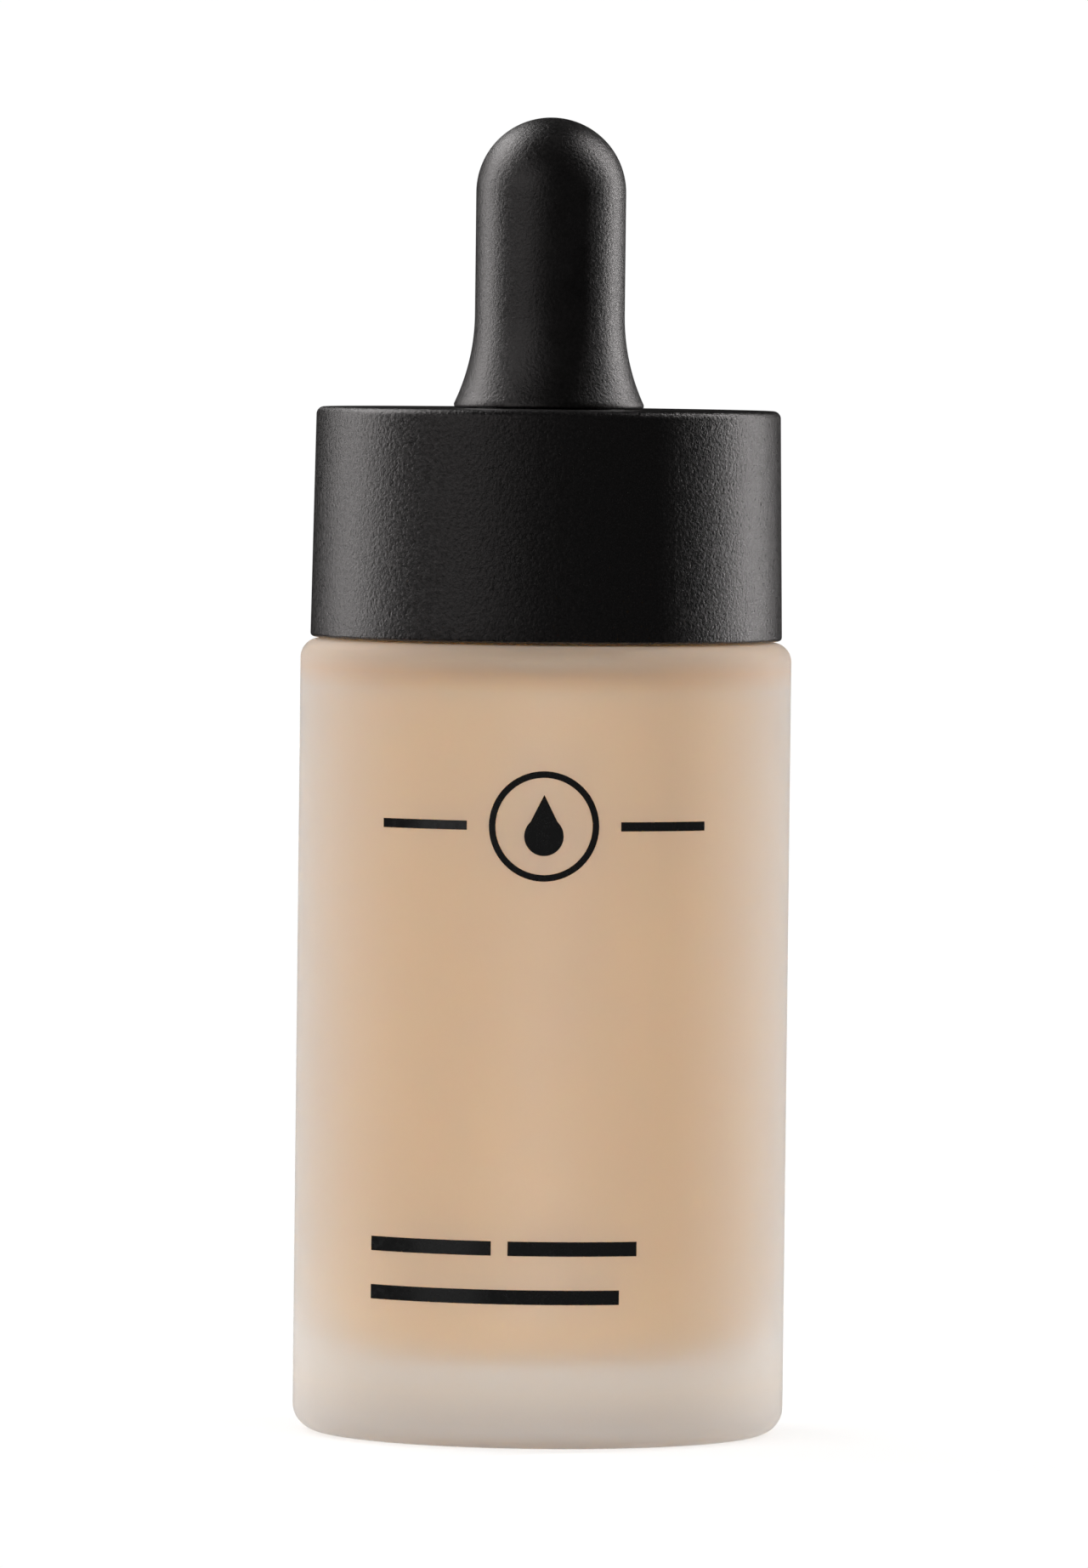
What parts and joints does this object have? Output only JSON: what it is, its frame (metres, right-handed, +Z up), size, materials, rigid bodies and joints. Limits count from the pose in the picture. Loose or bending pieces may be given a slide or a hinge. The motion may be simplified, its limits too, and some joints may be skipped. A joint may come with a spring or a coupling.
{
  "type": "foundation bottle",
  "caption": "Frosted glass foundation bottle with a screw-on black closure, rubber squeeze bulb, glass pipette and neck wiper.",
  "frame": {"origin": "centre of the base, on the surface the bottle stands on", "axes": "+Z up along the bottle's axis; -Y towards the viewer, the side with the print; +X to the viewer's right"},
  "size_m": [0.038, 0.0381, 0.1017],
  "materials": {
    "frosted_glass": "acid-etched frost outside, smooth inside",
    "foundation": "thick opaque liquid",
    "wiper_plastic": "natural low-density polyethylene",
    "label_paper": "matte coated label, blank",
    "print_ink": "glossy black screen print",
    "gasket_foam": "foamed polyethylene",
    "shell_plastic": "fine moulded matte grain",
    "inner_cap_plastic": "natural polypropylene",
    "clear_glass": "clear flame-polished tube",
    "bulb_rubber": "satin moulded rubber"
  },
  "bodies": {
    "bottle": {"glass_bottle": "frosted_glass", "foundation_fill": "foundation", "wiper_insert": "wiper_plastic", "base_label": "label_paper", "front_print": "print_ink"},
    "seal": {"neck_gasket": "gasket_foam"},
    "closure": {"cap_shell": "shell_plastic", "screw_cap": "inner_cap_plastic", "glass_pipette": "clear_glass"},
    "bulb": {"rubber_bulb": "bulb_rubber"}
  },
  "joints": [
    {"name": "dropper_lift", "type": "slide", "parent": "bottle", "child": "seal", "axis": [0, 0, 1], "range_m": [0, 0.068]},
    {"name": "cap_turn", "type": "hinge", "parent": "seal", "child": "closure", "pos_m": [0, 0, 0.0614], "axis": [0, 0, 1], "range_deg": [0, 7700]},
    {"name": "bulb_squeeze", "type": "slide", "parent": "closure", "child": "bulb", "axis": [0, 0, -1], "range_m": [0, 0.005], "stiffness_N_per_m": 600, "deforming": ["rubber_bulb"]}
  ],
  "couplings": [
    {"joint": "dropper_lift", "follows": "cap_turn", "m_per_rad": 0.00050532}
  ]
}
